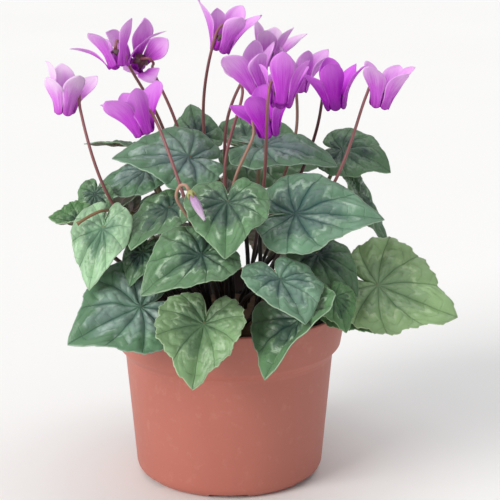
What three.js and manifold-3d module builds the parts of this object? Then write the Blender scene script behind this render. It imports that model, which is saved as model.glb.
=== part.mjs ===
// A potted cyclamen: a plastic pot of compost, a corm, marbled heart-shaped leaves and nodding pink blooms.
// Millimetres, +Z up. The origin is the middle of the pot's underside, on the surface it stands on, and
// -Y is the plant's front. Angles in the tables are in degrees; a heading of 0 points along +X, 90 along +Y.

import * as THREE from "three";
import { mergeVertices } from "three/addons/utils/BufferGeometryUtils.js";
import Module from "manifold-3d";

const wasm = await Module();
wasm.setup();

// ---- driving dimensions -------------------------------------------------------------------------

// The pot, a standard grower's pot 12 cm across
const POT_BASE_RADIUS = 47.5;
const POT_BASE_ROUND = 6.5;
const POT_BASE_SPREAD = 0.6;
const POT_BODY_RADIUS = 53;
const POT_BODY_TOP = 63;
const COLLAR_BOTTOM_RADIUS = 57;
const COLLAR_BOTTOM = 69;
const COLLAR_TOP_RADIUS = 60.5;
const POT_HEIGHT = 90;
const POT_WALL = 1.6;
const POT_FLOOR = 4;
const POT_SIDES = 28;

// Channels under the pot's floor, which drain its holes
const CHANNELS = 6;
const CHANNEL_WIDTH = 20;
const CHANNEL_HEIGHT = 2.4;
const CHANNEL_INNER_RADIUS = 22;
const DRAIN_RADIUS = 4;
const DRAIN_AT_RADIUS = 34;
const DRAIN_SIDES = 10;

// Compost and corm
const GAP = 0.35;
const SOIL_TOP = 79;
const SOIL_RELIEF = 1.6;
const SOIL_SIDES = 20;
// Radii of the rings of points on the compost's lumpy surface
const SOIL_RINGS = [50, 41, 32, 0];
const CORM_SIDES = 16;
const CORM_MIDDLE = 77;
// The corm's outline as radius and height from its middle, from the bottom up to the flat crown
const CORM_OUTLINE = [
  [0, -12],
  [18, -11],
  [26, -6],
  [27.5, 4],
  [25, 9],
  [14, 10.5],
  [0, 11],
];

// Leaves and stems
const BLADE_THICKNESS = 0.9;
// A row of points between the stem's end and the margin, as a share of the way
const INNER_ROW = 0.52;
// A blade's margin on one side: angle from the tip, and distance from the stem's end as a share of the length
const MARGIN = [
  [0, 1],
  [22.5, 0.74],
  [45, 0.66],
  [67.5, 0.64],
  [90, 0.63],
  [114, 0.6],
  [140, 0.53],
  [166, 0.45],
  [180, 0.14],
];
const TOOTH = 0.035;
// The height of a blade's waves as a share of its length
const WAVE = 0.035;
const STEM_SIDES = 5;
const LEAF_STEM_RADIUS = 1.15;
const FLOWER_STEM_RADIUS = 1;
const FLOWER_STEM_TIP_RADIUS = 0.7;
const BUD_STEM_RADIUS = 0.8;
const ROOT_DEPTH = 4;
const STALK_STEP = 24;

// Blooms
const TUBE_RADIUS = 3.7;
const TUBE_LENGTH = 7;
const TUBE_WALL = 0.9;
const TUBE_SIDES = 6;
// The sepals: radius of their points and of the notches between them, and how far each lies towards the mouth
// from the tube's back
const SEPAL_POINT = { radius: 4, forward: 2.6 };
const SEPAL_NOTCH = { radius: 2.9, forward: 0.9 };
const SEPAL_THICKNESS = 0.9;
const PETALS = 5;
const PETAL_LENGTH = 23.8;
const PETAL_THICKNESS = 0.7;
// A petal's middle line from inside the tube's wall to the lip: radius, height behind the mouth and width.
// Past the lip it is listed as a share of the petal's length and a width.
const PETAL_BASE = [
  [3.3, 0.7, 3.4],
  [4.6, -0.6, 5],
];
const PETAL_SPREAD = [
  [0.32, 8],
  [0.66, 11.8],
  [1, 3],
];
// How much a petal's sides bend outwards as a share of its width, and how far it is turned about its own
// line, so that its edges pass over one neighbour and under the other
const PETAL_CUP = 0.16;
const PETAL_TWIST = 15;
// How much petals differ: degrees that they open, share of their length, and degrees of twist
const PETALS_VARY = { open: 7, reach: 0.08, twist: 7 };
// The hook of the stalk beside the bloom, and half the gap between the two petals that it passes
const HOOK_REACH = 7.4;
const HOOK_ROOM = 56;

// Colours of the pieces
const TERRACOTTA = 0xb5705f;
const COMPOST = 0x2b211b;
const CORM_BROWN = 0x5b4332;
const LEAF_GREENS = [0x3f6b4c, 0x55805a, 0x2f5a48];
const PETAL_PINK = 0xc763d6;
const FADED_PINK = 0xc79ad0;
const STALK_BROWN = 0x8d5650;
const SPENT_TAN = 0xb08a6a;

// ---- where each leaf and bloom is ---------------------------------------------------------------

// Rings of roots on the corm: radius of the ring and the lean of the stems that leave it
const ROOTS = {
  heart: { radius: 6, lean: 5 },
  inner: { radius: 10, lean: 10 },
  middle: { radius: 14.5, lean: 18 },
  outer: { radius: 18.5, lean: 28 },
  rim: { radius: 22.5, lean: 40 },
};

// A leaf: name, x, y, z of the stem's end, heading and slope of the midrib, roll, length from the stem's end
// to the tip, breadth, curl of the tip, droop of the sides, depth of the groove, ring and heading of its root
const LEAVES = [
  ["leaf_01", -20, -6, 166.5, 190, 10, -28, 38, 1.0, 25, 25, 0.15, "inner", 208],
  ["leaf_02", -42, 3, 157.5, 186, -16, -15, 28, 1.1, 25, 25, 0.1, "outer", 172],
  ["leaf_03", -47, 26, 165, 172, 2, 14, 28, 0.9, 0, 20, 0.1, "middle", 155],
  ["leaf_04", -66.3, -9, 148, 235, -65, -10, 16, 1.0, 10, 20, 0.1, "rim", 179],
  ["leaf_05", -73, -27, 139, 178, 2, -25, 15, 1.1, -10, -50, 0.1, "rim", 194],
  ["leaf_06", -60, -44, 139.5, 250, -48, -5, 31, 0.76, 20, 20, 0.2, "outer", 213],
  ["leaf_07", -29, -31.5, 146.5, 234, -20, 5, 33, 0.9, 15, 25, 0.2, "middle", 230],
  ["leaf_08", -12, -71, 134.5, 215, -10, -25, 35, 0.95, 35, 20, 0.25, "outer", 260],
  ["leaf_09", 0, -54, 155, 268, -30, 0, 33, 1.0, 20, 20, 0.2, "middle", 266],
  ["leaf_10", -16, 35, 168, 105, 40, 0, 22, 1.0, 10, 25, 0.1, "middle", 108],
  ["leaf_11", 18, 2, 170, -12, 2, 10, 38, 1.0, 30, 30, 0.15, "middle", -32],
  ["leaf_12", 58, 20, 164, -24, -4, 25, 28, 1.15, 45, 25, 0.2, "outer", 18],
  ["leaf_13", 33, -41, 146, -6, 6, 32, 42.5, 1.0, 20, 25, 0.25, "outer", -55],
  ["leaf_14", 25, -73, 123, -60, -27, -6, 28, 1.25, 15, 20, 0.25, "outer", -78],
  ["leaf_15", 74, -30, 107, -14, -18, 50, 42, 0.95, 10, 15, 0.2, "rim", -22],
  ["leaf_16", 56, -32.5, 96.5, -28, -18, 30, 23, 0.9, 20, 20, 0.1, "rim", -36],
  ["leaf_17", -42, -56, 104, 213, -10, -38, 40, 1.05, 30, 20, 0.25, "rim", 234],
  ["leaf_18", -11, -68, 99, 252, -50, 0, 32, 1.1, 15, 5, 0.4, "rim", 260],
  ["leaf_19", 35, -69, 102.6, 228, -35, 15, 36, 1.1, 10, 5, 0.35, "rim", -72],
  ["leaf_20", 67, 12, 142.5, -15, -55, 0, 33, 0.8, 20, 15, 0.1, "rim", 8],
  ["leaf_21", 12, 42, 160.5, 8, -4, 36, 42, 1.0, 25, 25, 0.1, "middle", 55],
  ["leaf_22", -41, -45, 128, 235, -45, 0, 18, 1.0, 20, 20, 0.1, "rim", 221],
  ["leaf_23", 51.5, -52.5, 107.5, -55, -50, 0, 18, 1.1, 20, 20, 0.1, "rim", -56],
  ["leaf_24", 44, -31, 123, -32, -30, 15, 29, 1.0, 20, 20, 0.1, "outer", -22],
  ["leaf_25", 48, 47.5, 139, 48, -18, 0, 42, 1.0, 35, 25, 0.1, "outer", 45],
  ["leaf_26", -6, 62, 139, 92, -15, 0, 36, 1.0, 35, 25, 0.1, "outer", 90],
  ["leaf_27", -40, 44, 143, 136, -18, 0, 42, 1.0, 35, 25, 0.1, "outer", 135],
  ["leaf_28", 30, 68, 106, 66, -40, 0, 42, 1.05, 20, 20, 0.1, "rim", 66],
  ["leaf_29", -22, 70, 104, 108, -40, 0, 42, 1.05, 20, 20, 0.1, "rim", 108],
  ["leaf_30", -52, 34, 127, 148, -48, 0, 34, 1.0, 20, 20, 0.1, "rim", 152],
];

// A bloom: name, x, y, z of the mouth's middle, heading and tilt of the mouth from straight down, heading of
// the hook beside it, how far the petals open, size, breadth of the petals, a point that the stalk passes, and
// ring and heading of its root
const BLOOMS = [
  ["bloom_01", -80, -11, 190, 200, 8, 350, 22, 1.0, 1, [-57, -22, 147], "inner", 185],
  ["bloom_02", -53, -17, 214, 300, 20, 60, 40, 1.0, 0.62, [-33, 19, 174], "inner", 165],
  ["bloom_03", -46, 24, 207, 110, 60, 330, 27, 1.0, 0.95, [-27, 21, 178], "heart", 140],
  ["bloom_04", -40, -31, 184, 340, 22, 350, 22, 1.0, 1, [-17.5, -49, 147], "inner", 242],
  ["bloom_05", -4, 4, 218, 200, 15, 235, 19, 1.0, 0.9, [-13, 21, 180], "heart", 95],
  ["bloom_06", 15, 3, 198, 345, 26, 180, 27, 1.0, 1, [-1.5, -16, 165], "heart", 285],
  ["bloom_07", 19, 30, 206, 200, 10, 200, 23, 0.95, 0.9, [-1, 25, 178], "inner", 80],
  ["bloom_08", 25.5, -42, 200, 265, 25, 215, 23, 1.0, 1, [17.5, -20, 156], "inner", 320],
  ["bloom_09", 35, 17, 196, 180, 8, 100, 19, 0.95, 0.85, [34, 21.5, 172], "inner", 50],
  ["bloom_10", 20, -19.5, 180.5, 350, 16, 200, 28, 1.0, 0.95, [3, -29, 159], "heart", 235],
  ["bloom_11", 53, -4, 191, 340, 8, 150, 22, 1.0, 1, [42, 16, 167], "inner", 22],
  ["bloom_12", 74, -10, 193, 200, 12, 185, 24, 1.0, 0.85, [51, -15, 153], "heart", 15],
];

// The hanging bud: its calyx, its petals' tip, and points and root heading of its stalk
const BUD_CALYX = new THREE.Vector3(-17, -61, 161);
const BUD_TIP = new THREE.Vector3(-10.5, -66, 149.5);
const BUD_STALK = [
  new THREE.Vector3(-14, -50, 140),
  new THREE.Vector3(-20.5, -54.5, 151),
  new THREE.Vector3(-24, -57.5, 159),
  new THREE.Vector3(-22, -58.5, 164.5),
  new THREE.Vector3(-19.5, -59.5, 165),
];
const BUD_ROOT = 262;
const BUD_PETAL_RADII = [1.1, 1.7, 2.1, 1.9, 1.3, 0.5];
const BUD_CALYX_RADII = [0.9, 1.7, 2.1];
const BUD_CALYX_SIDES = 6;

// The spent stalk: points that it passes and its root heading
const SPENT_STALK = [
  new THREE.Vector3(-53, -28, 141.5),
  new THREE.Vector3(-60, -42, 148),
  new THREE.Vector3(-66, -44.5, 146),
  new THREE.Vector3(-72, -46, 142.5),
];
const SPENT_ROOT = 207;

// ---- small helpers ------------------------------------------------------------------------------

const rad = THREE.MathUtils.degToRad;

function vector(x, y, z) {
  return new THREE.Vector3(x, y, z);
}

// A point at a radius, a heading in degrees and a height
function polar(radius, heading, z) {
  return vector(radius * Math.cos(rad(heading)), radius * Math.sin(rad(heading)), z);
}

// A closed solid from points and triangles of indices
function solidFrom(points, triangles) {
  const geometry = new THREE.BufferGeometry().setFromPoints(points);
  geometry.setIndex(triangles.flat());
  return solidOf(geometry);
}

// A closed solid from a three.js geometry
function solidOf(geometry) {
  const bare = geometry.clone();
  bare.deleteAttribute("normal");
  bare.deleteAttribute("uv");
  const merged = mergeVertices(bare, 1e-4);
  const vertProperties = new Float32Array(merged.attributes.position.array);
  const triVerts = new Uint32Array(merged.index.array);
  return new wasm.Manifold(new wasm.Mesh({ numProp: 3, vertProperties, triVerts }));
}

// A closed solid whose triangles all turn the same way, whichever way that is
function rightWayOut(points, triangles) {
  const solid = solidFrom(points, triangles);
  if (solid.volume() > 0) return solid;
  return solidFrom(points, triangles.map(([a, b, c]) => [a, c, b]));
}

function fuse(solids) {
  return solids.reduce((whole, solid) => whole.add(solid));
}

function meshFrom(solid, name, colour, roughness) {
  const made = solid.getMesh();
  const geometry = new THREE.BufferGeometry();
  geometry.setAttribute("position", new THREE.BufferAttribute(new Float32Array(made.vertProperties), 3));
  geometry.setIndex(new THREE.BufferAttribute(new Uint32Array(made.triVerts), 1));
  geometry.computeVertexNormals();
  const material = new THREE.MeshStandardMaterial({ color: colour, roughness, metalness: 0 });
  const mesh = new THREE.Mesh(geometry, material);
  mesh.name = name;
  return mesh;
}

// A solid of revolution about +Z from a profile of [radius, height] pairs, listed with the solid on its left
function turned(profile, sides) {
  const outline = profile.map(([radius, height]) => new THREE.Vector2(radius, height));
  const geometry = new THREE.LatheGeometry(outline, sides);
  geometry.rotateX(Math.PI / 2);
  return solidOf(geometry);
}

// A tube through points, with a radius at each of them and flat ends
function tube(points, radii, sides) {
  const rings = [];
  let side = null;
  points.forEach((point, i) => {
    const before = points[Math.max(i - 1, 0)];
    const after = points[Math.min(i + 1, points.length - 1)];
    const along = after.clone().sub(before).normalize();
    if (!side) side = Math.abs(along.z) > 0.9 ? vector(1, 0, 0) : vector(0, 0, 1);
    side = side.clone().addScaledVector(along, -side.dot(along)).normalize();
    const other = along.clone().cross(side);
    for (let k = 0; k < sides; k++) {
      const turn = (2 * Math.PI * k) / sides;
      const ray = side.clone().multiplyScalar(Math.cos(turn)).addScaledVector(other, Math.sin(turn));
      rings.push(point.clone().addScaledVector(ray, radii[i]));
    }
  });
  const triangles = [];
  for (let i = 0; i + 1 < points.length; i++) {
    for (let k = 0; k < sides; k++) {
      const a = i * sides + k;
      const b = i * sides + ((k + 1) % sides);
      triangles.push([a, b, b + sides], [a, b + sides, a + sides]);
    }
  }
  const last = (points.length - 1) * sides;
  for (let k = 1; k + 1 < sides; k++) {
    triangles.push([0, k + 1, k], [last, last + k, last + k + 1]);
  }
  return solidFrom(rings, triangles);
}

// A thin solid round a middle surface: both faces have the same triangles, and a rim joins them
function thicken(points, triangles, rim, thickness) {
  const normals = points.map(() => vector(0, 0, 0));
  for (const [a, b, c] of triangles) {
    const normal = points[b].clone().sub(points[a]).cross(points[c].clone().sub(points[a]));
    [a, b, c].forEach((i) => normals[i].add(normal));
  }
  normals.forEach((normal) => normal.normalize());
  const upper = points.map((point, i) => point.clone().addScaledVector(normals[i], thickness / 2));
  const lower = points.map((point, i) => point.clone().addScaledVector(normals[i], -thickness / 2));
  const count = points.length;
  const faces = [...triangles];
  triangles.forEach(([a, b, c]) => faces.push([a + count, c + count, b + count]));
  rim.forEach((a, k) => {
    const b = rim[(k + 1) % rim.length];
    faces.push([a, a + count, b + count], [a, b + count, b]);
  });
  return solidFrom([...upper, ...lower], faces);
}

// ---- pot, compost and corm ----------------------------------------------------------------------

function makePot() {
  const roundCentre = POT_BASE_RADIUS - POT_BASE_ROUND + POT_BASE_SPREAD;
  const round = [];
  for (let turn = 0; turn <= 90; turn += 30) {
    round.push([
      roundCentre + POT_BASE_ROUND * Math.sin(rad(turn)),
      POT_BASE_ROUND * (1 - Math.cos(rad(turn))),
    ]);
  }
  const profile = [
    [0, 0],
    ...round,
    [POT_BODY_RADIUS, POT_BODY_TOP],
    [POT_BODY_RADIUS + 0.8, POT_BODY_TOP + 2.2],
    [COLLAR_BOTTOM_RADIUS, COLLAR_BOTTOM],
    [COLLAR_TOP_RADIUS, POT_HEIGHT - 0.8],
    [COLLAR_TOP_RADIUS - 0.8, POT_HEIGHT],
    [COLLAR_TOP_RADIUS - POT_WALL, POT_HEIGHT - 0.6],
    [COLLAR_BOTTOM_RADIUS - POT_WALL, COLLAR_BOTTOM],
    [POT_BODY_RADIUS - POT_WALL, POT_BODY_TOP],
    [POT_BASE_RADIUS - POT_WALL, POT_FLOOR + 3],
    [POT_BASE_RADIUS - POT_WALL - 3, POT_FLOOR],
    [0, POT_FLOOR],
  ];
  let pot = turned(profile, POT_SIDES);
  for (let i = 0; i < CHANNELS; i++) {
    const heading = -90 + (i * 360) / CHANNELS;
    const outer = POT_BASE_RADIUS + 6;
    const channel = new THREE.BoxGeometry(outer - CHANNEL_INNER_RADIUS, CHANNEL_WIDTH, 2 * CHANNEL_HEIGHT);
    channel.translate((outer + CHANNEL_INNER_RADIUS) / 2, 0, 0);
    channel.rotateZ(rad(heading));
    const drain = new THREE.CylinderGeometry(DRAIN_RADIUS, DRAIN_RADIUS, 4 * POT_FLOOR, DRAIN_SIDES);
    drain.rotateX(Math.PI / 2);
    drain.translate(DRAIN_AT_RADIUS, 0, 0);
    drain.rotateZ(rad(heading));
    pot = pot.subtract(solidOf(channel)).subtract(solidOf(drain));
  }
  return meshFrom(pot, "pot", TERRACOTTA, 0.55);
}

// The height of the corm's crown at a radius from its axis
function crownHeight(radius) {
  const outer = CORM_OUTLINE.findLastIndex(([edge]) => edge >= radius);
  const [r0, z0] = CORM_OUTLINE[outer];
  const [r1, z1] = CORM_OUTLINE[outer + 1];
  return CORM_MIDDLE + z0 + ((z1 - z0) * (r0 - radius)) / (r0 - r1);
}

// The corm, or the hollow that it lies in when it is grown by a gap
function cormSolid(grow) {
  const profile = CORM_OUTLINE.map(([radius, rise]) => {
    return [radius && radius + grow, CORM_MIDDLE + rise + Math.sign(rise) * grow];
  });
  return turned(profile, CORM_SIDES);
}

function makeCorm(holes) {
  return meshFrom(cormSolid(0).subtract(fuse(holes)), "corm", CORM_BROWN, 0.9);
}

// The lumps on the compost's surface
function soilRelief(x, y) {
  const broad = Math.sin(x * 0.21 + 0.6) * Math.cos(y * 0.19 - 0.4);
  const fine = Math.sin(x * 0.53 - y * 0.31) * Math.sin(y * 0.47 + 1.1);
  return SOIL_RELIEF * (0.6 * broad + 0.4 * fine);
}

// The compost fills the pot up to SOIL_TOP, with a gap to the wall and to the corm
function makeSoil() {
  const inner = POT_WALL + 2 * GAP;
  const shoulder = SOIL_TOP - 2;
  const collarRise = (shoulder - COLLAR_BOTTOM) / (POT_HEIGHT - COLLAR_BOTTOM);
  const collarRadius = COLLAR_BOTTOM_RADIUS + (COLLAR_TOP_RADIUS - COLLAR_BOTTOM_RADIUS) * collarRise;
  const outline = [
    [0, POT_FLOOR + GAP],
    [POT_BASE_RADIUS - inner - 3.4, POT_FLOOR + GAP],
    [POT_BASE_RADIUS - inner, POT_FLOOR + 3.6],
    [POT_BODY_RADIUS - inner - 0.15, POT_BODY_TOP],
    [COLLAR_BOTTOM_RADIUS - inner - 0.3, COLLAR_BOTTOM + 0.4],
    [collarRadius - inner - 0.4, shoulder],
    ...SOIL_RINGS.map((radius) => [radius, SOIL_TOP]),
  ].map(([radius, height]) => new THREE.Vector2(radius, height));
  const geometry = new THREE.LatheGeometry(outline, SOIL_SIDES);
  geometry.rotateX(Math.PI / 2);
  const position = geometry.attributes.position;
  for (let i = 0; i < position.count; i++) {
    if (position.getZ(i) > shoulder + 1) {
      position.setZ(i, SOIL_TOP + soilRelief(position.getX(i), position.getY(i)));
    }
  }
  return meshFrom(solidOf(geometry).subtract(cormSolid(GAP)), "compost", COMPOST, 1);
}

// ---- stems --------------------------------------------------------------------------------------

function rootOf(ring, heading) {
  const { radius, lean } = ROOTS[ring];
  const start = polar(radius, heading, crownHeight(radius) - ROOT_DEPTH);
  const direction = polar(Math.sin(rad(lean)), heading, Math.cos(rad(lean)));
  return { start, direction };
}

// The hole that a stem stands in, a little wider than the stem
function rootHole(points, radius) {
  const along = points[1].clone().sub(points[0]).normalize();
  const bottom = points[0].clone().addScaledVector(along, -GAP);
  const top = points[0].clone().addScaledVector(along, ROOT_DEPTH * 3);
  return tube([bottom, top], [radius + GAP, radius + GAP], STEM_SIDES);
}

// ---- leaves -------------------------------------------------------------------------------------

// The margin all the way round, with small teeth on every point but the tip and the notch
function marginRow() {
  const last = MARGIN.length - 1;
  const toothed = MARGIN.map(([turn, reach], k) => {
    const tooth = k % 2 ? TOOTH : -TOOTH;
    return [turn, k % last ? reach * (1 + tooth) : reach];
  });
  const otherSide = toothed.slice(1, last).reverse();
  return [...toothed, ...otherSide.map(([turn, reach]) => [-turn, reach])];
}

// A point of the blade's middle surface, for an angle from the tip and a share of the way to the margin
function bladePoint(leaf, turn, share, reach) {
  const along = share * reach * leaf.length * Math.cos(rad(turn));
  const across = share * reach * leaf.length * Math.sin(rad(turn)) * leaf.breadth;
  const curl = (rad(leaf.curl) / leaf.length) * (along < 0 ? 0.5 : 1) + 1e-6;
  const cup = rad(leaf.cup) / (0.57 * leaf.length) + 1e-6;
  const wave = WAVE * leaf.length * share ** 2 * Math.sin(rad(3 * turn) + leaf.phase);
  const x = Math.sin(curl * along) / curl;
  const y = Math.sin(cup * across) / cup;
  const drop = (1 - Math.cos(curl * along)) / curl + (1 - Math.cos(cup * across)) / cup;
  return vector(x, y, wave + leaf.groove * Math.abs(across) - drop);
}

// The directions of a blade: along its midrib, to its left and out of its upper face
function bladeFrame(leaf) {
  const heading = rad(leaf.heading);
  const slope = rad(leaf.slope);
  const level = Math.cos(slope);
  const along = vector(Math.cos(heading) * level, Math.sin(heading) * level, Math.sin(slope));
  const left = vector(0, 0, 1).cross(along).normalize().applyAxisAngle(along, rad(leaf.roll));
  const up = along.clone().cross(left);
  return { along, left, up };
}

function bladeSolid(leaf, frame) {
  const outline = marginRow();
  const points = [vector(0, 0, 0)];
  const rows = [];
  for (const [share, stride] of [[INNER_ROW, 2], [1, 1]]) {
    const row = [];
    for (let k = 0; k < outline.length; k += stride) {
      const [turn, reach] = outline[k];
      row.push(points.length);
      points.push(bladePoint(leaf, turn, share, reach));
    }
    rows.push(row);
  }
  const triangles = [];
  const [inner, margin] = rows;
  inner.forEach((a, k) => {
    const b = inner[(k + 1) % inner.length];
    const [c, d, e] = [2 * k, 2 * k + 1, (2 * k + 2) % margin.length].map((i) => margin[i]);
    triangles.push([0, a, b], [a, c, d], [a, d, b], [b, d, e]);
  });
  const placed = points.map((point) =>
    leaf.at
      .clone()
      .addScaledVector(frame.along, point.x)
      .addScaledVector(frame.left, point.y)
      .addScaledVector(frame.up, point.z),
  );
  return thicken(placed, triangles, margin, BLADE_THICKNESS);
}

// The stem of a leaf rises from the corm and comes up under the blade
function leafStem(leaf, frame) {
  const { start, direction } = rootOf(leaf.ring, leaf.root);
  const arrive = frame.up.clone().multiplyScalar(0.8).addScaledVector(frame.along, 0.35).normalize();
  const span = start.distanceTo(leaf.at);
  const end = leaf.at.clone().addScaledVector(arrive, 0.2);
  const curve = new THREE.CubicBezierCurve3(
    start,
    start.clone().addScaledVector(direction, span * 0.4),
    leaf.at.clone().addScaledVector(arrive, -span * 0.3),
    end,
  );
  const clearOfCorm = 6 / span;
  const points = [0, clearOfCorm, 0.45, 0.75, 1].map((share) => curve.getPoint(share));
  const radii = points.map((point, i) => LEAF_STEM_RADIUS * (1 - 0.03 * i));
  return { solid: tube(points, radii, STEM_SIDES), hole: rootHole(points, LEAF_STEM_RADIUS) };
}

function makeLeaf(row, index) {
  const [name, x, y, z, heading, slope, roll, length, breadth, curl, cup, groove, ring, root] = row;
  const leaf = { heading, slope, roll, length, breadth, curl, cup, groove, ring, root };
  leaf.at = vector(x, y, z);
  leaf.phase = index * 2.4;
  const frame = bladeFrame(leaf);
  const stem = leafStem(leaf, frame);
  const solid = bladeSolid(leaf, frame).add(stem.solid);
  const mesh = meshFrom(solid, name, LEAF_GREENS[index % LEAF_GREENS.length], 0.5);
  return { mesh, hole: stem.hole };
}

// ---- blooms -------------------------------------------------------------------------------------

// The directions of a bloom: out of its mouth, towards its hook, and across
function bloomFrame(heading, tilt, hook) {
  const out = polar(Math.sin(rad(tilt)), heading, -Math.cos(rad(tilt)));
  const toHook = polar(1, hook, 0);
  toHook.addScaledVector(out, -toHook.dot(out)).normalize();
  return { out, toHook, across: out.clone().cross(toHook) };
}

// A point of a bloom from its radius, its turn from the hook and its height behind the mouth
function bloomPoint(bloom, radius, turn, back) {
  return bloom.mouth
    .clone()
    .addScaledVector(bloom.frame.toHook, radius * Math.cos(rad(turn)) * bloom.size)
    .addScaledVector(bloom.frame.across, radius * Math.sin(rad(turn)) * bloom.size)
    .addScaledVector(bloom.frame.out, -back * bloom.size);
}

// The short cup that the petals leave, open at the mouth
function bloomTube(bloom) {
  const profile = [
    [TUBE_RADIUS * 0.8, TUBE_LENGTH * 0.7],
    [TUBE_RADIUS, 0],
    [TUBE_RADIUS - TUBE_WALL, 0],
    [TUBE_RADIUS * 0.58, TUBE_LENGTH * 0.58],
  ];
  const points = [bloomPoint(bloom, 0, 0, TUBE_LENGTH), bloomPoint(bloom, 0, 0, TUBE_LENGTH - TUBE_WALL)];
  profile.forEach(([radius, back]) => {
    for (let k = 0; k < TUBE_SIDES; k++) points.push(bloomPoint(bloom, radius, (360 * k) / TUBE_SIDES, back));
  });
  const triangles = [];
  const at = (row, k) => 2 + row * TUBE_SIDES + (k % TUBE_SIDES);
  for (let k = 0; k < TUBE_SIDES; k++) {
    triangles.push([0, at(0, k), at(0, k + 1)], [1, at(3, k + 1), at(3, k)]);
    for (let row = 0; row < 3; row++) {
      triangles.push([at(row, k), at(row + 1, k), at(row + 1, k + 1)]);
      triangles.push([at(row, k), at(row + 1, k + 1), at(row, k + 1)]);
    }
  }
  return rightWayOut(points, triangles);
}

// A petal starts in the tube's wall, rolls over the lip and sweeps back past the tube. No two are alike.
function petalSolid(bloom, index) {
  const openWay = Math.sin(2.1 * index + bloom.phase);
  const longWay = Math.sin(4.3 * index + 1.9 * bloom.phase);
  const turn = HOOK_ROOM + ((360 - 2 * HOOK_ROOM) * index) / (PETALS - 1);
  const open = rad(bloom.open + PETALS_VARY.open * openWay);
  const reach = PETAL_LENGTH * (1 + PETALS_VARY.reach * longWay);
  const twist = rad(PETAL_TWIST + PETALS_VARY.twist * longWay);
  const [lip, lipBack] = PETAL_BASE.at(-1);
  const spread = PETAL_SPREAD.map(([share, width]) => {
    const lean = open * (0.6 + 0.6 * share);
    const far = share * reach;
    return [lip + far * Math.sin(lean), lipBack + far * Math.cos(lean), width * bloom.breadth];
  });
  const points = [];
  const rows = [...PETAL_BASE, ...spread].map(([radius, back, width], i) => {
    const broad = i >= PETAL_BASE.length;
    const cup = broad ? PETAL_CUP * width : 0;
    const lift = broad ? (width / 2) * Math.sin(twist) : 0;
    return (broad ? [-1, 0, 1] : [-1, 1]).map((side) => {
      const sideways = (side * width) / 2;
      const outward = radius - (side ? cup : 0) + side * lift;
      const angle = turn + THREE.MathUtils.radToDeg(Math.atan2(sideways, outward));
      points.push(bloomPoint(bloom, Math.hypot(outward, sideways), angle, back));
      return points.length - 1;
    });
  });
  const triangles = [];
  rows.slice(1).forEach((row, i) => {
    const before = rows[i];
    if (before.length === 2 && row.length === 3) {
      triangles.push([before[0], before[1], row[1]]);
      triangles.push([before[0], row[1], row[0]], [before[1], row[2], row[1]]);
      return;
    }
    for (let k = 0; k + 1 < row.length; k++) {
      triangles.push([before[k], before[k + 1], row[k + 1]], [before[k], row[k + 1], row[k]]);
    }
  });
  const left = rows.map((row) => row[0]).reverse();
  const right = rows.map((row) => row.at(-1));
  const rim = [...right, rows.at(-1)[1], ...left];
  return thicken(points, triangles, rim, PETAL_THICKNESS);
}

// Five pointed sepals in a shallow cup round the back of the tube, on the end of the stalk
function calyxSolid(bloom) {
  const corners = 2 * PETALS;
  const foot = TUBE_LENGTH + GAP;
  const points = [bloomPoint(bloom, 0, 0, foot + 1.3), bloomPoint(bloom, 0, 0, foot)];
  for (const lift of [1, 0]) {
    for (let k = 0; k < corners; k++) {
      const { radius, forward } = k % 2 ? SEPAL_NOTCH : SEPAL_POINT;
      const back = foot - forward + lift * SEPAL_THICKNESS;
      points.push(bloomPoint(bloom, radius + lift * 0.5, (360 * k) / corners, back));
    }
  }
  const triangles = [];
  for (let k = 0; k < corners; k++) {
    const upper = 2 + k;
    const upperNext = 2 + ((k + 1) % corners);
    const lower = upper + corners;
    const lowerNext = upperNext + corners;
    triangles.push([0, upper, upperNext], [1, lowerNext, lower]);
    triangles.push([upper, lower, lowerNext], [upper, lowerNext, upperNext]);
  }
  return rightWayOut(points, triangles);
}

// A smooth stalk that leaves the corm straight and then passes some points
function stalkAlong(ring, heading, passed, radius, tipRadius) {
  const { start, direction } = rootOf(ring, heading);
  const control = [start, start.clone().addScaledVector(direction, ROOT_DEPTH + 4), ...passed];
  const curve = new THREE.CatmullRomCurve3(control, false, "centripetal");
  const points = [start];
  for (let i = 1; i + 1 < control.length; i++) {
    const pieces = Math.ceil(control[i].distanceTo(control[i + 1]) / STALK_STEP);
    for (let k = 0; k < pieces; k++) points.push(curve.getPoint((i + k / pieces) / (control.length - 1)));
  }
  points.push(control.at(-1));
  const radii = points.map((_, i) => radius + ((tipRadius - radius) * i) / (points.length - 1));
  return { solid: tube(points, radii, STEM_SIDES), hole: rootHole(points, radius) };
}

// The stalk rises from the corm, passes between two petals and hooks over to the back of the bloom
function bloomStalk(bloom) {
  const passed = [
    bloom.knee,
    bloomPoint(bloom, HOOK_REACH, 0, 3),
    bloomPoint(bloom, HOOK_REACH * 0.8, 0, 10),
    bloomPoint(bloom, HOOK_REACH * 0.35, 0, 12.4),
    bloomPoint(bloom, 0, 0, TUBE_LENGTH + 0.9),
  ];
  return stalkAlong(bloom.ring, bloom.root, passed, FLOWER_STEM_RADIUS, FLOWER_STEM_TIP_RADIUS);
}

function makeBloom(row, index) {
  const [name, x, y, z, heading, tilt, hook, open, size, breadth, knee, ring, root] = row;
  const bloom = { open, size, breadth, ring, root, mouth: vector(x, y, z), knee: vector(...knee) };
  bloom.phase = index * 1.7;
  bloom.frame = bloomFrame(heading, tilt, hook);
  const petals = Array.from({ length: PETALS }, (_, k) => petalSolid(bloom, k));
  const stalk = bloomStalk(bloom);
  return {
    meshes: [
      meshFrom(fuse([bloomTube(bloom), ...petals]), name + "_petals", PETAL_PINK, 0.45),
      meshFrom(stalk.solid.add(calyxSolid(bloom)), name + "_stalk", STALK_BROWN, 0.5),
    ],
    hole: stalk.hole,
  };
}

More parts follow.
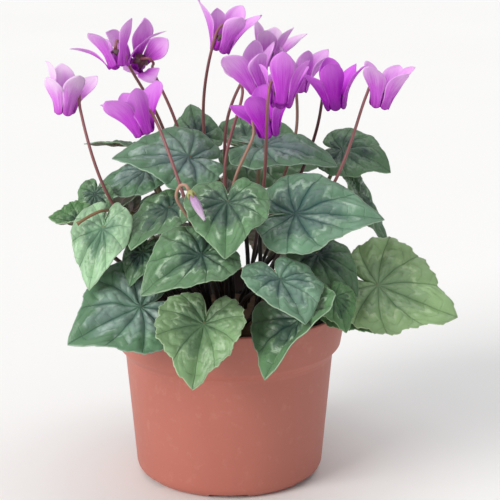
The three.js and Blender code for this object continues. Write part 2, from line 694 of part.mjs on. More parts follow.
// A half-closed bloom that hangs at the plant's front: its twisted petals in one spindle, on a hooked stalk
function makeBud() {
  const along = BUD_TIP.clone().sub(BUD_CALYX).normalize();
  const length = BUD_TIP.distanceTo(BUD_CALYX);
  const onAxis = (far) => BUD_CALYX.clone().addScaledVector(along, far);
  const petals = tube([GAP, 2, 5, 8, 11, length].map(onAxis), BUD_PETAL_RADII, STEM_SIDES);
  const calyx = tube([-2, -1, -GAP].map(onAxis), BUD_CALYX_RADII, BUD_CALYX_SIDES);
  const stalk = stalkAlong("inner", BUD_ROOT, [...BUD_STALK, onAxis(-1.5)], BUD_STEM_RADIUS, BUD_STEM_RADIUS);
  return {
    meshes: [
      meshFrom(petals, "bud_petals", FADED_PINK, 0.5),
      meshFrom(stalk.solid.add(calyx), "bud_stalk", STALK_BROWN, 0.5),
    ],
    hole: stalk.hole,
  };
}

// A stalk that has lost its bloom and lies over the leaves at the left
function makeSpentStalk() {
  const stalk = stalkAlong("middle", SPENT_ROOT, SPENT_STALK, FLOWER_STEM_RADIUS, 1.1);
  return { meshes: [meshFrom(stalk.solid, "spent_stalk", SPENT_TAN, 0.6)], hole: stalk.hole };
}

// ---- the plant in its pot -----------------------------------------------------------------------

const plant = new THREE.Group();
const leaves = LEAVES.map(makeLeaf);
const blooms = BLOOMS.map(makeBloom);
const others = [makeBud(), makeSpentStalk()];
const holes = [...leaves, ...blooms, ...others].map((grown) => grown.hole);
plant.add(makePot(), makeSoil(), makeCorm(holes));
leaves.forEach((leaf) => plant.add(leaf.mesh));
[...blooms, ...others].forEach((grown) => plant.add(...grown.meshes));

export default plant;
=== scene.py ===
"""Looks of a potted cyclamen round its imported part: veined leaves, shaded petals, stalks, pot and compost.

Lengths are in millimetres, in the part's own frame, until a mesh is made. The pot stands on z = 0, +Z is up
and the front of the plant faces -Y. Angles are in degrees, and headings run from +X towards +Y.
"""

import math
import random

import bmesh
import bpy
from mathutils import Matrix, Vector, noise


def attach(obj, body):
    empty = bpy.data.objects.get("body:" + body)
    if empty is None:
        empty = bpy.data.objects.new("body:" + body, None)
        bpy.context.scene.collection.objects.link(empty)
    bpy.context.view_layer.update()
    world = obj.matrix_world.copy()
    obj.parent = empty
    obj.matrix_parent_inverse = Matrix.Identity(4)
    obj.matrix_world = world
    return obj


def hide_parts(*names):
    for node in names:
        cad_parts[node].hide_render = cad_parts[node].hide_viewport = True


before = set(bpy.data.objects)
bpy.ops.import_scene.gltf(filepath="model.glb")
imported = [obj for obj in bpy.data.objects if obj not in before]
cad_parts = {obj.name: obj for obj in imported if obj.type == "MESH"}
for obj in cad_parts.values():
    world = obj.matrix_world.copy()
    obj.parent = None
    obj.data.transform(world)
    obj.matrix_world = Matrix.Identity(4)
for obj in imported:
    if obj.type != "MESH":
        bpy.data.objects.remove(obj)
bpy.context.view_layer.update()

MM = 0.001

# ---- sizes, as in the part ----

POT_BASE_RADIUS = 47.5
POT_BASE_ROUND = 6.5
POT_BASE_SPREAD = 0.6
POT_BODY_RADIUS = 53.0
POT_BODY_TOP = 63.0
COLLAR_BOTTOM_RADIUS = 57.0
COLLAR_BOTTOM = 69.0
COLLAR_TOP_RADIUS = 60.5
POT_HEIGHT = 90.0
POT_WALL = 1.6
POT_FLOOR = 4.0
CHANNELS = 6
CHANNEL_WIDTH = 20.0
CHANNEL_HEIGHT = 2.4
CHANNEL_INNER_RADIUS = 22.0
DRAIN_RADIUS = 4.0
DRAIN_AT_RADIUS = 34.0

GAP = 0.35
SOIL_TOP = 79.0
SOIL_RELIEF = 1.6
CORM_MIDDLE = 77.0
CORM_OUTLINE = [(0, -12), (18, -11), (26, -6), (27.5, 4), (25, 9), (14, 10.5), (0, 11)]

LEAF_STEM_RADIUS = 1.15
LEAF_STEM_TIP_RADIUS = 0.88 * LEAF_STEM_RADIUS
LEAF_STEM_FLARE = 0.35 * LEAF_STEM_RADIUS
STALK_RADIUS = 1.0
STALK_TIP_RADIUS = 0.7
STALK_KNOB = 0.35
ROOT_DEPTH = 4.0
TUBE_LENGTH = 7.0
PETALS = 5
PETAL_LENGTH = 23.8
PETAL_CUP = 0.16
PETAL_TWIST = 15.0
HOOK_REACH = 7.4
HOOK_ROOM = 56.0

# ---- fineness of the dressed pieces ----

LEAF_TURNS = 160
LEAF_ROWS = 22
LEAF_TEETH = 40
BLADE_THICKNESS = 0.8
STEM_SIDES = 10
PETAL_COLUMNS = 13
PETAL_STEPS = 26
PETAL_THICKNESS = 0.5

# Numbers per point that the materials read
LEAF_SHADES = ["leaf_share", "leaf_along", "leaf_across", "leaf_seed", "leaf_rib"]
PETAL_SHADES = ["petal_share", "petal_across", "petal_seed"]

# A blade's outline: angle from the tip, and the margin's distance from the stem's end as a share of the
# blade's length
MARGIN = [
    (0, 1), (22.5, 0.74), (45, 0.66), (67.5, 0.64), (90, 0.63), (114, 0.6), (140, 0.53), (166, 0.45),
    (180, 0.14),
]

# Rings of roots on the corm: radius of the ring and the lean of the stems that leave it
ROOTS = {"heart": (6, 5), "inner": (10, 10), "middle": (14.5, 18), "outer": (18.5, 28), "rim": (22.5, 40)}

# A leaf, from leaf_01 on: x, y, z of the stem's end, heading and slope of the midrib, roll, length, breadth,
# curl of the tip, droop of the sides, depth of the groove, ring and heading of the root, and look
LEAVES = [
    (-20, -6, 166.5, 190, 10, -28, 38, 1, 25, 25, 0.15, "inner", 208, "frosted"),
    (-42, 3, 157.5, 186, -16, -15, 28, 1.1, 25, 25, 0.1, "outer", 172, "frosted"),
    (-47, 26, 165, 172, 2, 14, 28, 0.9, 0, 20, 0.1, "middle", 155, "dark"),
    (-66.3, -9, 148, 235, -65, -10, 16, 1, 10, 20, 0.1, "rim", 179, "marbled"),
    (-73, -27, 139, 178, 2, -25, 15, 1.1, -10, -50, 0.1, "rim", 194, "fresh"),
    (-60, -44, 139.5, 250, -48, -5, 31, 0.76, 20, 20, 0.2, "outer", 213, "pale"),
    (-29, -31.5, 146.5, 234, -20, 5, 33, 0.9, 15, 25, 0.2, "middle", 230, "marbled"),
    (-12, -71, 134.5, 215, -10, -25, 35, 0.95, 35, 20, 0.25, "outer", 260, "marbled"),
    (0, -54, 155, 268, -30, 0, 33, 1, 20, 20, 0.2, "middle", 266, "marbled"),
    (-16, 35, 168, 105, 40, 0, 22, 1, 10, 25, 0.1, "middle", 108, "dark"),
    (18, 2, 170, -12, 2, 10, 38, 1, 30, 30, 0.15, "middle", -32, "frosted"),
    (58, 20, 164, -24, -4, 25, 28, 1.15, 45, 25, 0.2, "outer", 18, "dark"),
    (33, -41, 146, -6, 6, 32, 42.5, 1, 20, 25, 0.25, "outer", -55, "silvered"),
    (25, -73, 123, -60, -27, -6, 28, 1.25, 15, 20, 0.25, "outer", -78, "silvered"),
    (74, -30, 107, -14, -18, 50, 42, 0.95, 10, 15, 0.2, "rim", -22, "olive"),
    (56, -32.5, 96.5, -28, -18, 30, 23, 0.9, 20, 20, 0.1, "rim", -36, "fresh"),
    (-42, -56, 104, 213, -10, -38, 40, 1.05, 30, 20, 0.25, "rim", 234, "frosted"),
    (-11, -68, 99, 252, -50, 0, 32, 1.1, 15, 5, 0.4, "rim", 260, "young"),
    (35, -69, 102.6, 228, -35, 15, 36, 1.1, 10, 5, 0.35, "rim", -72, "marbled"),
    (67, 12, 142.5, -15, -55, 0, 33, 0.8, 20, 15, 0.1, "rim", 8, "dark"),
    (12, 42, 160.5, 8, -4, 36, 42, 1, 25, 25, 0.1, "middle", 55, "marbled"),
    (-41, -45, 128, 235, -45, 0, 18, 1, 20, 20, 0.1, "rim", 221, "dark"),
    (51.5, -52.5, 107.5, -55, -50, 0, 18, 1.1, 20, 20, 0.1, "rim", -56, "fresh"),
    (44, -31, 123, -32, -30, 15, 29, 1, 20, 20, 0.1, "outer", -22, "dark"),
    (48, 47.5, 139, 48, -18, 0, 42, 1, 35, 25, 0.1, "outer", 45, "silvered"),
    (-6, 62, 139, 92, -15, 0, 36, 1, 35, 25, 0.1, "outer", 90, "marbled"),
    (-40, 44, 143, 136, -18, 0, 42, 1, 35, 25, 0.1, "outer", 135, "frosted"),
    (30, 68, 106, 66, -40, 0, 42, 1.05, 20, 20, 0.1, "rim", 66, "young"),
    (-22, 70, 104, 108, -40, 0, 42, 1.05, 20, 20, 0.1, "rim", 108, "marbled"),
    (-52, 34, 127, 148, -48, 0, 34, 1, 20, 20, 0.1, "rim", 152, "silvered"),
]

# A bloom, from bloom_01 on: x, y, z of the mouth's middle, heading and tilt of the mouth from straight down,
# heading of the hook beside it, how far the petals open, size, breadth of the petals, a point that the stalk
# passes, ring and heading of the root, and strength of the petals' colour and of the stalk's brown, 0 to 1
BLOOMS = [
    (-80, -11, 190, 200, 8, 350, 22, 1, 1, (-57, -22, 147), "inner", 185, 0.15, 0.3),
    (-53, -17, 214, 300, 20, 60, 40, 1, 0.62, (-33, 19, 174), "inner", 165, 0.5, 0.5),
    (-46, 24, 207, 110, 60, 330, 27, 1, 0.95, (-27, 21, 178), "heart", 140, 0.35, 0.5),
    (-40, -31, 184, 340, 22, 350, 22, 1, 1, (-17.5, -49, 147), "inner", 242, 0.8, 0.4),
    (-4, 4, 218, 200, 15, 235, 19, 1, 0.9, (-13, 21, 180), "heart", 95, 0.6, 0.4),
    (15, 3, 198, 345, 26, 180, 27, 1, 1, (-1.5, -16, 165), "heart", 285, 0.5, 0.5),
    (19, 30, 206, 200, 10, 200, 23, 0.95, 0.9, (-1, 25, 178), "inner", 80, 0.3, 0.4),
    (25.5, -42, 200, 265, 25, 215, 23, 1, 1, (17.5, -20, 156), "inner", 320, 0.75, 0.3),
    (35, 17, 196, 180, 8, 100, 19, 0.95, 0.85, (34, 21.5, 172), "inner", 50, 0.4, 0.1),
    (20, -19.5, 180.5, 350, 16, 200, 28, 1, 0.95, (3, -29, 159), "heart", 235, 1, 0.1),
    (53, -4, 191, 340, 8, 150, 22, 1, 1, (42, 16, 167), "inner", 22, 1, 1.0),
    (74, -10, 193, 200, 12, 185, 24, 1, 0.85, (51, -15, 153), "heart", 15, 0.4, 0.4),
]

BUD_CALYX = Vector((-17, -61, 161))
BUD_TIP = Vector((-10.5, -66, 149.5))
BUD_STALK = [
    (-14, -50, 140), (-20.5, -54.5, 151), (-24, -57.5, 159), (-22, -58.5, 164.5), (-19.5, -59.5, 165),
]
BUD_ROOT = 262
BUD_STEM_RADIUS = 0.8
SPENT_STALK = [(-53, -28, 141.5), (-60, -42, 148), (-66, -44.5, 146), (-72, -46, 142.5)]
SPENT_ROOT = 207
SPENT_RADIUS = 0.9
SPENT_TIP_RADIUS = 0.75

# Veins: the angle between the main veins at the stem's end, how far they bend to the tip on their way, how
# many side veins leave each, and how far those run outwards on their way to the next main vein
VEIN_STEP = 37.5
VEIN_BEND = 14.0
SIDE_VEINS = 5.5
SIDE_LEAN = 0.42

# ---- camera, light and floor ----

CAMERA_AT = (10.7, -900.0, 372.0)
CAMERA_PITCH = 15.85
CAMERA_FOCAL_PIXELS = 1848.0
PHOTO_SIDE = 500.0
SENSOR = 36.0
AMBIENT = 0.45
FLOOR_REACH = 4000.0
FLOOR_DROP = 0.05


def set_camera():
    data = bpy.data.cameras.new("camera")
    data.sensor_width = SENSOR
    data.lens = CAMERA_FOCAL_PIXELS * SENSOR / PHOTO_SIDE
    camera = bpy.data.objects.new("camera", data)
    bpy.context.scene.collection.objects.link(camera)
    camera.location = Vector(CAMERA_AT) * MM
    camera.rotation_euler = (math.radians(90 - CAMERA_PITCH), 0, 0)
    bpy.context.scene.camera = camera


def sun_light(name, toward, power, spread, colour):
    """A broad, soft lamp far away, which shines along toward."""
    data = bpy.data.lights.new(name, "SUN")
    data.energy = power
    data.angle = math.radians(spread)
    data.color = colour
    light = bpy.data.objects.new(name, data)
    bpy.context.scene.collection.objects.link(light)
    light.rotation_euler = Vector(toward).to_track_quat("-Z", "Y").to_euler()


def set_lights():
    sun_light("key_light", (0.75, 0.62, -0.5), 2.1, 30, (1.0, 0.98, 0.95))
    sun_light("top_light", (-0.1, -0.2, -1.0), 1.0, 60, (1.0, 1.0, 1.0))
    world = bpy.data.worlds.new("studio")
    world.use_nodes = True
    background = world.node_tree.nodes["Background"].inputs
    background["Color"].default_value = (1, 1, 1, 1)
    background["Strength"].default_value = AMBIENT
    bpy.context.scene.world = world
    bpy.context.scene.view_settings.view_transform = "Standard"


def make_floor():
    """A wide pale floor just under the pot."""
    shape = Shape()
    corners = [(-1, -1), (1, -1), (1, 1), (-1, 1)]
    shape.face([shape.add((x * FLOOR_REACH, y * FLOOR_REACH, -FLOOR_DROP)) for x, y in corners])
    shape.piece("studio_floor", [floor_material()])


# ---- meshes ----


class Shape:
    """Points and faces that are gathered for one piece, with numbers per point that its materials read."""

    def __init__(self, *keys):
        self.points = []
        self.faces = []
        self.slots = []
        self.shades = {key: [] for key in keys}

    def add(self, point, **shades):
        """Adds a point in millimetres and gives its index."""
        self.points.append(point)
        for key, values in self.shades.items():
            values.append(shades.get(key, 0.0))
        return len(self.points) - 1

    def face(self, corners, slot=0):
        """Adds a face. A corner that is listed twice counts once."""
        self.faces.append(tuple(dict.fromkeys(corners)))
        self.slots.append(slot)

    def band(self, rings, slot=0, caps=False):
        """Adds the faces between each ring of points and the next, where a ring of one point is a tip."""
        for low, high in zip(rings, rings[1:]):
            count = max(len(low), len(high))
            for k in range(count):
                n = (k + 1) % count
                corners = [ring[i % len(ring)] for ring, i in ((low, k), (low, n), (high, n), (high, k))]
                self.face(corners, slot)
        if caps:
            self.face(reversed(rings[0]), slot)
            self.face(rings[-1], slot)

    def piece(self, name, materials=()):
        mesh = bpy.data.meshes.new(name)
        mesh.from_pydata([tuple(c * MM for c in point) for point in self.points], [], self.faces)
        for material in materials:
            mesh.materials.append(material)
        mesh.polygons.foreach_set("material_index", self.slots)
        mesh.polygons.foreach_set("use_smooth", [True] * len(self.faces))
        for key, values in self.shades.items():
            mesh.attributes.new(key, "FLOAT", "POINT").data.foreach_set("value", values)
        mesh.validate()
        mesh.update()
        piece = bpy.data.objects.new(name, mesh)
        bpy.context.scene.collection.objects.link(piece)
        return piece


def stand_for(piece, slot, *nodes):
    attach(piece, "root")
    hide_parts(*nodes)


def grow(shape, node, slot, materials, outward=True):
    """Makes the piece that stands for a grown node, and turns the faces of its closed shells outward."""
    piece = shape.piece("grown_" + node, materials)
    if outward:
        mesh = bmesh.new()
        mesh.from_mesh(piece.data)
        bmesh.ops.recalc_face_normals(mesh, faces=mesh.faces)
        mesh.to_mesh(piece.data)
        mesh.free()
    stand_for(piece, slot, node)


def sine(degrees, phase=0.0):
    return math.sin(math.radians(degrees) + phase)


def cosine(degrees):
    return math.cos(math.radians(degrees))


def polar(radius, heading, z):
    return Vector((radius * cosine(heading), radius * sine(heading), z))


def between(side, other, turn):
    """The direction at a turn from side towards other."""
    return side * cosine(turn) + other * sine(turn)


def smooth_step(low, high, value):
    t = min(max((value - low) / (high - low), 0.0), 1.0)
    return t * t * (3 - 2 * t)


def table_at(rows, value):
    """A number read between the rows of (value, number) pairs."""
    for (a, low), (b, high) in zip(rows, rows[1:]):
        if value <= b:
            return low + (high - low) * (value - a) / (b - a)
    return rows[-1][1]


def hermite(t, low, leave, high, arrive):
    """A smooth way from low to high, for the slopes at which it leaves and arrives."""
    t2 = t * t
    t3 = t2 * t
    way = low * (2 * t3 - 3 * t2 + 1) + leave * (t3 - 2 * t2 + t)
    return way + high * (3 * t2 - 2 * t3) + arrive * (t3 - t2)


def read_smoothly(rows, value, column=1):
    """A smooth reading of one column of rows that are sorted by their first."""
    i = 0
    while i < len(rows) - 2 and value > rows[i + 1][0]:
        i += 1
    low, high = rows[i], rows[i + 1]
    span = high[0] - low[0]

    def slope(at):
        before, after = rows[max(at - 1, 0)], rows[min(at + 1, len(rows) - 1)]
        return (after[column] - before[column]) / (after[0] - before[0])

    t = (value - low[0]) / span
    return hermite(t, low[column], slope(i) * span, high[column], slope(i + 1) * span)


def add_tube(shape, points, radii, slot=0, sides=STEM_SIDES):
    """A round tube along points, closed at both ends."""
    last = len(points) - 1
    side = None
    rings = []
    for i, point in enumerate(points):
        along = (points[min(i + 1, last)] - points[max(i - 1, 0)]).normalized()
        if side is None:
            side = Vector((1, 0, 0)) if abs(along.z) > 0.9 else Vector((0, 0, 1))
        side = (side - along * side.dot(along)).normalized()
        other = along.cross(side)
        ring = []
        for k in range(sides):
            ray = between(side, other, 360 * k / sides)
            ring.append(shape.add(point + ray * radii[i], stem_share=i / last))
        rings.append(ring)
    shape.band(rings, slot, caps=True)


def bezier(start, first, second, end, count):
    points = []
    for i in range(count + 1):
        t = i / count
        u = 1 - t
        points.append(start * u**3 + first * 3 * u * u * t + second * 3 * u * t * t + end * t**3)
    return points


def through(points, step):
    """Points of a centripetal Catmull-Rom curve through points, about step apart."""
    points = [Vector(point) for point in points]
    ends = [points[0] * 2 - points[1]] + points + [points[-1] * 2 - points[-2]]
    line = []
    for a, b, c, d in zip(ends, ends[1:], ends[2:], ends[3:]):
        ta, tb, tc = (math.sqrt(way.length) for way in (b - a, c - b, d - c))
        leave = ((b - a) / ta - (c - a) / (ta + tb) + (c - b) / tb) * tb
        arrive = ((c - b) / tb - (d - b) / (tb + tc) + (d - c) / tc) * tb
        count = max(2, math.ceil((c - b).length / step))
        line += [hermite(i / count, b, leave, c, arrive) for i in range(count)]
    line.append(points[-1])
    return line


# ---- materials ----

# Bump distances are in metres. Noise scales are per metre, and on blades and petals per unit of the numbers
# that each point carries.


def linear(tone):
    """One number of a colour on screen, from 0 to 255, as the shader wants it."""
    tone /= 255
    return round(tone / 12.92 if tone <= 0.04045 else ((tone + 0.055) / 1.055) ** 2.4, 4)


class Value:
    """What a node gives. Sums, products and the like of values add the nodes that work them out."""

    def __init__(self, skin, socket):
        self.skin = skin
        self.socket = socket

    def maths(self, operation, other=0.0):
        return self.skin.node("ShaderNodeMath", {0: self, 1: other}, operation=operation)

    def __add__(self, other):
        return self.maths("ADD", other)

    def __sub__(self, other):
        return self.maths("SUBTRACT", other)

    def __mul__(self, other):
        return self.maths("MULTIPLY", other)

    def __truediv__(self, other):
        return self.maths("DIVIDE", other)

    def folded(self):
        """How far a number is from the nearest whole number."""
        return self.maths("PINGPONG", 0.5)

    def step(self, low, high):
        """0 under low, 1 over high and smooth between them; falling where low is over high."""
        ends = {
            "Value": self,
            "From Min": min(low, high),
            "From Max": max(low, high),
            "To Min": float(low > high),
            "To Max": float(low < high),
        }
        return self.skin.node("ShaderNodeMapRange", ends, "Result", interpolation_type="SMOOTHSTEP")


class Skin:
    """A node material, with short ways to add the nodes that the materials here need."""

    def __init__(self, name, roughness):
        self.material = bpy.data.materials.new(name)
        self.material.use_nodes = True
        self.tree = self.material.node_tree
        self.surface = self.tree.nodes["Principled BSDF"].inputs
        self.surface["Roughness"].default_value = roughness
        # Where the textures are read
        self.place = self.node("ShaderNodeTexCoord", {}, "Object")

    def fill(self, socket, value):
        if isinstance(value, Value):
            self.tree.links.new(value.socket, socket)
        elif socket.type == "RGBA":
            socket.default_value = (*map(linear, value), 1)
        else:
            socket.default_value = value

    def node(self, kind, inputs, out=0, **settings):
        """Adds a node and gives one of its outputs; inputs are named or numbered as the node has them."""
        made = self.tree.nodes.new(kind)
        for key, value in settings.items():
            setattr(made, key, value)
        for key, value in inputs.items():
            self.fill(made.inputs[key], value)
        return Value(self, made.outputs[out])

    def attribute(self, name):
        return self.node("ShaderNodeAttribute", {}, "Fac", attribute_name=name)

    def vector(self, x, y, z):
        return self.node("ShaderNodeCombineXYZ", {0: x, 1: y, 2: z})

    def noise(self, scale, detail=2.0, roughness=0.55):
        inputs = {"Vector": self.place, "Scale": scale, "Detail": detail, "Roughness": roughness}
        return self.node("ShaderNodeTexNoise", inputs, "Fac")

    def paint(self, colour, *coats):
        """Colours the surface: each coat is how much it covers, from 0 to 1, and its colour."""
        for cover, tone in coats:
            colour = self.node("ShaderNodeMix", {0: cover, 6: colour, 7: tone}, 2, data_type="RGBA")
        self.fill(self.surface["Base Color"], colour)
        return self.material

    def bump(self, height, strength, distance):
        inputs = {"Height": height, "Strength": strength, "Distance": distance}
        self.fill(self.surface["Normal"], self.node("ShaderNodeBump", inputs, "Normal"))
        return self.material


# A leaf's look: colours of its middle, outer band, silver, margin and veins, how strong the silver band is,
# how far its middle is washed with silver, which is partly its own frosting and partly a painted sheen, and
# where the band lies on the way from the stem to the margin
LEAF_LOOKS = dict(
    marbled=[(42, 74, 62), (90, 126, 88), (176, 204, 174), (164, 192, 158), (24, 50, 42), 0.8, 0.3, 0.62],
    silvered=[(58, 96, 88), (102, 140, 112), (176, 202, 182), (176, 200, 172), (28, 56, 50), 0.6, 0.55, 0.66],
    frosted=[(82, 114, 106), (92, 130, 98), (176, 198, 188), (164, 190, 168), (44, 76, 66), 0.5, 0.95, 0.68],
    dark=[(36, 64, 56), (84, 118, 84), (116, 150, 122), (134, 164, 130), (20, 44, 36), 0.5, 0.15, 0.62],
    pale=[(96, 136, 108), (144, 180, 142), (186, 212, 182), (184, 208, 172), (74, 112, 84), 0.8, 0.35, 0.6],
    fresh=[(48, 84, 56), (88, 130, 82), (150, 184, 140), (164, 196, 144), (40, 76, 46), 0.6, 0.15, 0.62],
    olive=[(112, 142, 102), (132, 162, 114), (184, 208, 164), (184, 204, 158), (66, 94, 62), 0.5, 0.3, 0.62],
    young=[(84, 116, 82), (118, 150, 106), (176, 202, 164), (182, 204, 164), (56, 86, 60), 0.6, 0.25, 0.62],
)


def leaf_pattern(skin):
    """What both faces of a leaf read: way out, distance to main and side veins, rib number and wander."""
    share, along, across, seed, rib = (skin.attribute(key) for key in LEAF_SHADES)
    skin.place = skin.vector(along, across, seed)
    wander = skin.noise(3.2, 3.0)
    rib = rib + wander * 0.16 - 0.08
    local = rib.folded()
    radius = (along * along + across * across).maths("SQRT")
    # Behind the stem's end there is no midrib
    midrib = across.maths("ABSOLUTE") + along.step(0.03, 0.0) * 0.3
    main = (local * radius * math.radians(VEIN_STEP)).maths("MINIMUM", midrib)
    side = ((share - local * SIDE_LEAN) * SIDE_VEINS + wander * 0.9).folded() / SIDE_VEINS
    return share, main, side, rib, wander


def leaf_upper(name, look):
    middle, outer, silver, margin, vein, strength, frost_and_sheen, centre = look
    skin = Skin("leaf_" + name, 0.42)
    share, main, side, rib, wander = leaf_pattern(skin)
    fine = skin.noise(26.0, 4.0, 0.65)
    blotch = skin.noise(4.5, 3.0, 0.6)
    broad = skin.noise(2.0)
    # The pale band zigzags round the leaf: it lies farthest out at a main vein and halfway to the next
    zigzag = (rib * 2.0).folded()
    reach = share + (zigzag - 0.25) * 0.28 + (wander - 0.5) * 0.5 + (fine - 0.5) * 0.16
    band = reach.step(centre - 0.05, centre) * reach.step(centre + 0.1, centre + 0.01)
    band = band * blotch.step(0.4, 0.6) * main.step(0.0, 0.02) * strength
    # A silver cloud over the middle: partly the leaf's own silvering, partly a painted sheen
    silver_and_sheen = reach.step(centre + 0.1, centre - 0.15) * blotch.step(0.4, 0.7).maths("MAXIMUM", 0.4)
    silver_and_sheen = silver_and_sheen * main.step(0.004, 0.05) * (0.75 * frost_and_sheen)
    lines = main.step(0.011, 0.002).maths("MAXIMUM", side.step(0.008, 0.001) * 0.4)
    # Half as bright again as the outer band
    lighter = [1.184 * tone + 2.6 for tone in outer]
    skin.paint(
        middle,
        (reach.step(centre - 0.2, centre + 0.12), outer),
        (broad.step(0.42, 0.7) * 0.55, lighter),
        (silver_and_sheen, silver),
        (band, silver),
        (lines * 0.34, vein),
        (share.step(0.978, 0.994) * 0.7, margin),
    )
    skin.fill(skin.surface["Roughness"], fine * 0.2 + 0.26)
    return skin.bump(lines * -0.8 + fine * 0.4 + blotch * 1.2, 0.6, 0.0008)


def leaf_under():
    skin = Skin("leaf_underside", 0.5)
    share, main, side, _, wander = leaf_pattern(skin)
    fine = skin.noise(22.0, 3.0)
    lines = main.step(0.022, 0.008).maths("MAXIMUM", side.step(0.012, 0.003) * 0.5)
    skin.paint(
        (74, 62, 52),
        (wander, (84, 96, 68)),
        (lines * 0.8, (132, 92, 84)),
        (share.step(0.965, 0.99) * 0.6, (140, 160, 120)),
        (fine * 0.3, (104, 112, 84)),
    )
    return skin.bump(lines + fine * 0.2, 0.7, 0.0008)


# Painted shade: the near-black foot of stems, where they run into the shadow inside the plant
STEM_FOOT_SHADE = (26, 18, 16)


def stem_material(name, low, high, patch, shade_reach=0.5):
    """A fleshy stem with fine specks. Its foot is painted dark as the shade deep inside the plant, and this
    painted shade fades out by the share of its length that the last argument gives.
    """
    skin = Skin(name, 0.42)
    share = skin.attribute("stem_share")
    specks = skin.noise(900.0)
    skin.paint(
        low,
        (share.step(0.4, 0.95), high),
        (skin.noise(70.0).step(0.45, 0.7) * 0.5, patch),
        (specks * 0.25, high),
        # Painted shade: darker towards the corm, fading out up the stem
        (share.step(shade_reach, 0.5 * shade_reach), STEM_FOOT_SHADE),
    )
    return skin.bump(specks, 0.3, 0.0003)


# Petal colours at the mouth, on the body and at the pale tip, for weak, strong and fading blooms
PETAL_TONES = {
    "weak": [(198, 56, 204), (230, 150, 238), (255, 238, 255)],
    "strong": [(140, 12, 156), (184, 30, 202), (214, 108, 230)],
    "fading": [(172, 128, 172), (200, 164, 206), (226, 204, 228)],
}
PETAL_SURFACE = {
    "Subsurface Weight": 0.2,
    "Subsurface Radius": (1.0, 0.5, 1.0),
    "Subsurface Scale": 0.002,
    "Specular IOR Level": 0.25,
}


def petal_material(name, tones):
    """Strong at the mouth and pale at the tip, with fine darker veins along the petal."""
    mouth, body, pale = tones
    skin = Skin(name, 0.55)
    share, across, seed = (skin.attribute(key) for key in PETAL_SHADES)
    skin.place = skin.vector(share, across, seed)
    broad = skin.noise(1.9)
    skin.place = skin.vector(share, across * 15.0, seed)
    veins = skin.noise(1.6, 4.0, 0.65)
    fade = share + (broad - 0.5) * 0.5
    edge = across.maths("ABSOLUTE").step(0.82, 0.98) * share.step(0.05, 0.3)
    skin.paint(
        mouth,
        (fade.step(-0.05, 0.34), body),
        (fade.step(0.32, 0.95), pale),
        (edge * 0.6, pale),
        (veins.step(0.5, 0.64) * share.step(1.1, 0.3) * 0.45, mouth),
        (veins.step(0.5, 0.34) * 0.35, pale),
    )
    for key, value in PETAL_SURFACE.items():
        skin.surface[key].default_value = value
    return skin.bump(veins, 0.4, 0.0005)


def plastic_material():
    skin = Skin("terracotta_plastic", 0.5)
    dust = skin.noise(160.0, 4.0, 0.7)
    broad = skin.noise(14.0, 3.0)
    skin.paint((172, 98, 84), (broad, (188, 112, 96)), (dust.step(0.52, 0.75) * 0.22, (206, 150, 134)))
    skin.fill(skin.surface["Roughness"], dust * 0.2 + 0.4)
    return skin.bump(skin.noise(2600.0), 0.25, 0.0002)


def inner_shade_material():
    """The pot's inner wall, painted near black as the shade inside the pot, with a lighter mottle."""
    skin = Skin("soil_stained_plastic", 0.8)
    wall_mottle = skin.noise(120.0, 4.0, 0.7)
    # Painted shade: near black, as the inside of the pot lies in shadow under the leaves
    return skin.paint((16, 11, 9), (wall_mottle, (52, 32, 26)))


def compost_material():
    skin = Skin("compost", 0.95)
    lumps = skin.noise(260.0, 6.0, 0.7)
    flakes = skin.node("ShaderNodeTexVoronoi", {"Vector": skin.place, "Scale": 420.0}, "Color")
    # Near black: partly the compost's own dark brown, partly painted shade under the leaves
    skin.paint((9, 7, 6), (lumps, (34, 26, 20)), (flakes.step(0.8, 0.95) * 0.4, (70, 54, 40)))
    return skin.bump(lumps, 0.9, 0.0012)


def corm_material():
    skin = Skin("corm_skin", 0.85)
    bark = skin.noise(190.0, 6.0, 0.65)
    rings = skin.noise(40.0, 3.0)
    skin.paint((56, 38, 28), (bark, (122, 92, 68)), (rings.step(0.5, 0.7) * 0.4, (96, 84, 56)))
    return skin.bump(bark, 0.9, 0.001)


def floor_material():
    skin = Skin("pale_floor", 0.8)
    mottle = skin.noise(3.0)
    return skin.paint([243.45] * 3, (mottle, [248.15] * 3))


# ---- pot, compost and corm ----

POT_SIDES = 144
POT_EDGE_ROUND = 0.45
LIP_BEVEL = 0.8
CHANNEL_ROUND = 1.2
SHARP_ANGLE = 38.0
SOIL_TURNS = 180
SOIL_ROWS = 46
SOIL_EDGE = 56.2
SOIL_SINK = 1.5
CRUMBS = 900
CRUMB_RING = (26, 54)
CORM_TURNS = 96
CORM_ROUND = 2.5
CORM_ROUGH = 0.7


def rounded(profile, size, steps):
    """The profile of (radius, height) pairs with each inner corner rounded over about size."""
    out = [profile[0]]
    for before, corner, after in zip(profile, profile[1:], profile[2:]):
        corner = Vector(corner)
        sides = [Vector(before) - corner, Vector(after) - corner]
        cut = min(size, *(side.length * 0.45 for side in sides))
        first, second = (corner + side.normalized() * cut for side in sides)
        for i in range(steps + 1):
            t = i / steps
            out.append(tuple(first * (1 - t) ** 2 + corner * 2 * t * (1 - t) + second * t * t))
    out.append(profile[-1])
    return out


def lathe(profile, sides):
    """A solid of revolution, whose profile of (radius, height) pairs runs from the axis to the axis."""
    shape = Shape()
    rings = []
    for radius, height in profile:
        count = sides if radius else 1
        rings.append([shape.add(polar(radius, 360 * k / sides, height)) for k in range(count)])
    shape.band(rings)
    return shape


